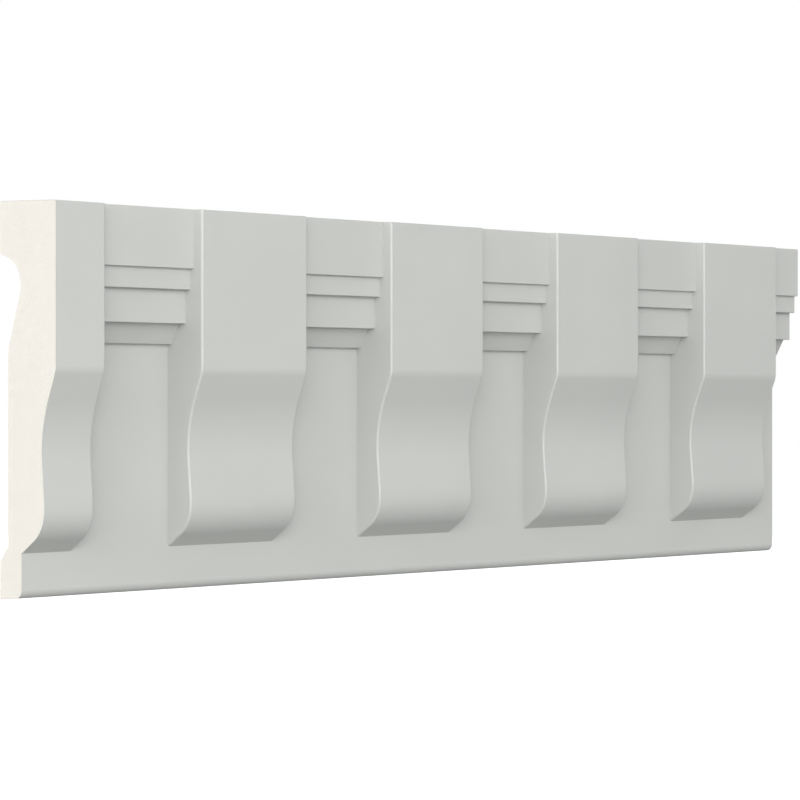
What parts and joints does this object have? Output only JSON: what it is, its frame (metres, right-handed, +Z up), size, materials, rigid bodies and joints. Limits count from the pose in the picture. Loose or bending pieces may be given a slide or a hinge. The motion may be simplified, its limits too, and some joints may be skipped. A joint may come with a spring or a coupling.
{
  "type": "dentil moulding",
  "caption": "Straight length of cast foam dentil moulding: ogee brackets on a plain field under stepped courses, hollow at the back, sawn square at both ends.",
  "frame": {"origin": "middle of the upper rear land, on the wall plane and half way along the length", "axes": "+X along the moulding, to the right as seen from the front; +Y into the wall; +Z up"},
  "size_m": [0.958, 0.0692, 0.3097],
  "materials": {
    "grey_primer": "factory primer, light grey with a slight green cast, satin",
    "raw_foam": "sawn rigid polyurethane foam, cream, fine closed cells"
  },
  "bodies": {
    "root": {"dentil_moulding": "grey_primer"}
  },
  "joints": []
}
